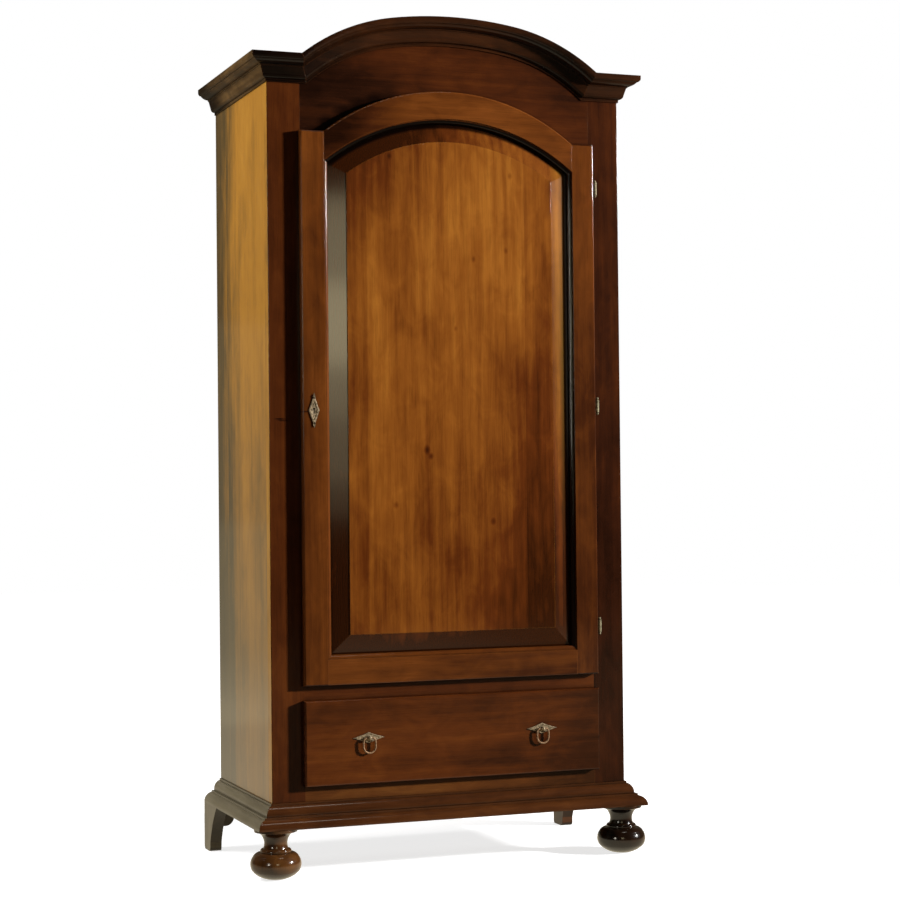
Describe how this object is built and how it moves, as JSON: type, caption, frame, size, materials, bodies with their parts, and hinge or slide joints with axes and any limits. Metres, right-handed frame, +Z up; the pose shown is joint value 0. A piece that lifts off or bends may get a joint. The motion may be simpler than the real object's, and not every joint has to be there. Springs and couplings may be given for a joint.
{
  "type": "bonnetiere cabinet",
  "caption": "Tall narrow stained-wood cupboard with an arched cornice, an arched raised-panel door over a lipped drawer with ring pulls, moulded base and turned bun feet.",
  "frame": {"origin": "on the floor, at the middle of the overall width and depth", "axes": "+X to the viewer's right, +Y from the front to the back, +Z up; the front faces -Y"},
  "size_m": [1.039, 0.548, 2.0999],
  "materials": {
    "frame_wood": "stained, satin varnish",
    "moulding_wood": "dark stain, satin varnish",
    "foot_wood": "dark stain, glossy varnish",
    "side_wood": "stained, satin varnish",
    "inner_wood": "planed, unvarnished",
    "door_wood": "stained, satin varnish",
    "panel_wood": "stained, satin varnish",
    "drawer_wood": "stained, satin varnish",
    "antique_brass": "antiqued, rubbed bright on edges",
    "lock_iron": "dark, oiled"
  },
  "bodies": {
    "carcass": {"front_stile_left": "frame_wood", "front_stile_right": "frame_wood", "frieze_rail": "frame_wood", "mid_rail": "frame_wood", "bottom_rail": "frame_wood", "cornice_side_left": "moulding_wood", "cornice_side_right": "moulding_wood", "cornice_front_left": "moulding_wood", "cornice_front_right": "moulding_wood", "cornice_arch": "moulding_wood", "base_moulding_front": "moulding_wood", "base_moulding_left": "moulding_wood", "base_moulding_right": "moulding_wood", "bun_foot_left": "foot_wood", "bun_foot_right": "foot_wood", "rear_foot_left": "foot_wood", "rear_foot_right": "foot_wood", "side_panel_left": "side_wood", "side_panel_right": "side_wood", "rear_stile_left": "side_wood", "rear_stile_right": "side_wood", "back_plank_1": "inner_wood", "back_plank_2": "inner_wood", "back_plank_3": "inner_wood", "back_plank_4": "inner_wood", "back_rail": "inner_wood", "top_board": "inner_wood", "cupboard_floor": "inner_wood", "drawer_floor": "inner_wood", "shelf_1": "inner_wood", "shelf_2": "inner_wood", "shelf_3": "inner_wood", "shelf_cleats_left": "inner_wood", "shelf_cleats_right": "inner_wood", "drawer_runner_left": "inner_wood", "drawer_runner_right": "inner_wood", "drawer_guide_left": "inner_wood", "drawer_guide_right": "inner_wood", "drawer_kicker_left": "inner_wood", "drawer_kicker_right": "inner_wood", "hinge_frame_halves": "antique_brass", "strike_plate": "lock_iron"},
    "door": {"door_stile_left": "door_wood", "door_stile_right": "door_wood", "door_arched_rail": "door_wood", "door_bottom_rail": "door_wood", "door_panel": "panel_wood", "escutcheon": "antique_brass", "hinge_door_halves": "antique_brass", "lock_case": "lock_iron"},
    "bolt": {"lock_bolt": "lock_iron"},
    "drawer": {"drawer_front": "drawer_wood", "drawer_side_left": "inner_wood", "drawer_side_right": "inner_wood", "drawer_back": "inner_wood", "drawer_bottom": "inner_wood", "pull_plates": "antique_brass", "pull_posts": "antique_brass"},
    "ring_pull_left": {"ring_left": "antique_brass"},
    "ring_pull_right": {"ring_right": "antique_brass"}
  },
  "joints": [
    {"name": "door_hinge", "type": "hinge", "parent": "carcass", "child": "door", "pos_m": [0.399, -0.224, 1.139], "axis": [0, 0, 1], "range_deg": [0, 110]},
    {"name": "lock_slide", "type": "slide", "parent": "door", "child": "bolt", "axis": [-1, 0, 0], "range_m": [0, 0.01]},
    {"name": "drawer_slide", "type": "slide", "parent": "carcass", "child": "drawer", "axis": [0, -1, 0], "range_m": [0, 0.34]},
    {"name": "ring_swing_left", "type": "hinge", "parent": "drawer", "child": "ring_pull_left", "pos_m": [-0.229, -0.2465, 0.329], "axis": [-1, 0, 0], "range_deg": [0, 95]},
    {"name": "ring_swing_right", "type": "hinge", "parent": "drawer", "child": "ring_pull_right", "pos_m": [0.229, -0.2465, 0.329], "axis": [-1, 0, 0], "range_deg": [0, 95]}
  ]
}
